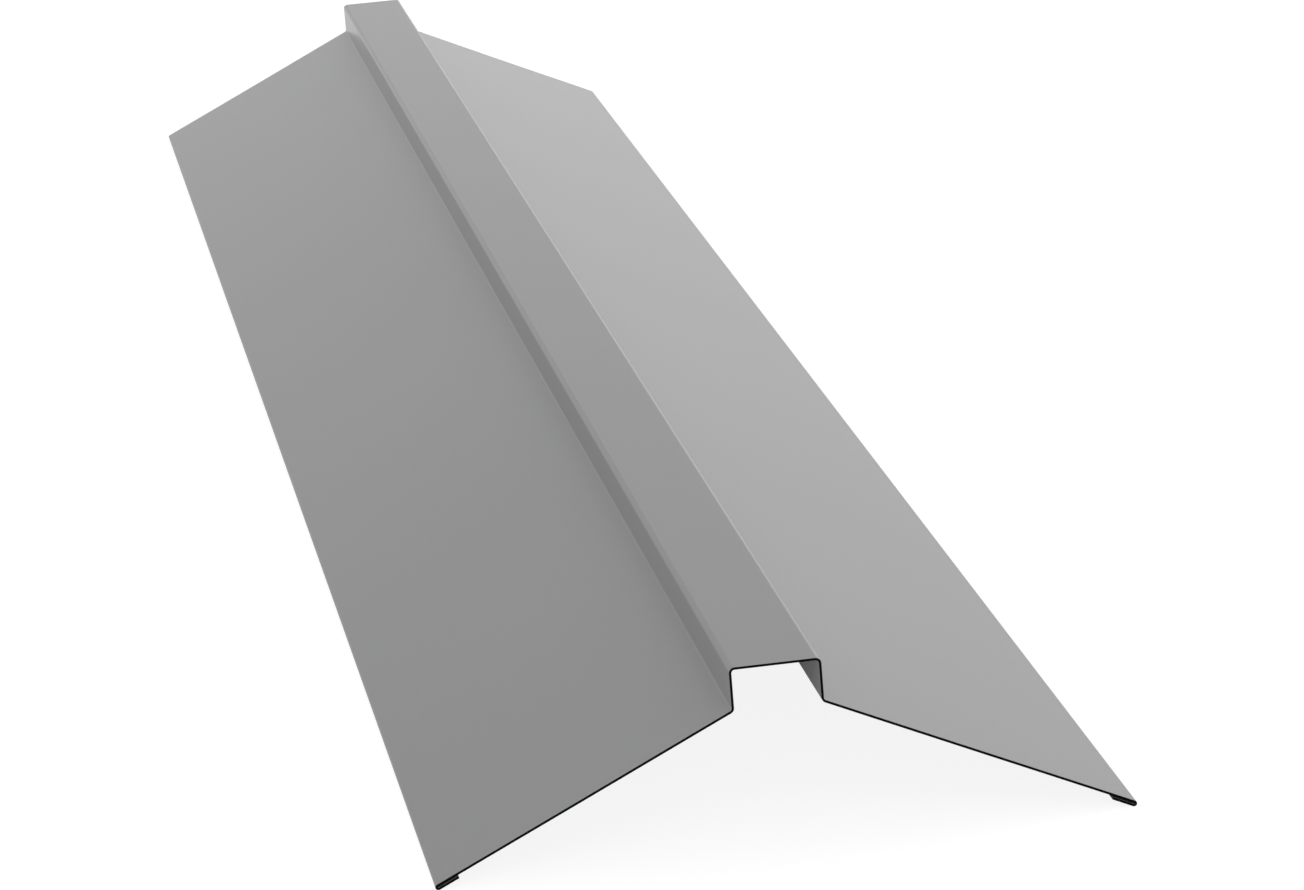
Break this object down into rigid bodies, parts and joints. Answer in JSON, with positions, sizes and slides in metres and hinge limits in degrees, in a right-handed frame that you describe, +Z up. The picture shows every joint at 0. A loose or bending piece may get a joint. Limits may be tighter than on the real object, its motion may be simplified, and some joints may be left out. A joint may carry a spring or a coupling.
{
  "type": "roof ridge cap",
  "caption": "Folded steel ridge cap: a raised flat-topped rib between sloping wings whose outer edges are hemmed under, to cover the joint along the top of a pitched roof.",
  "frame": {"origin": "middle of the cap's length and width, level with the undersides of the two hems it stands on", "axes": "+X across the ridge to the right wing, +Y along the ridge, +Z up through the crown of the rib"},
  "size_m": [0.3118, 1.8, 0.0846],
  "materials": {
    "coated_steel": "satin grey polyester coating on galvanised steel sheet"
  },
  "bodies": {
    "root": {"ridge_cap": "coated_steel"}
  },
  "joints": []
}
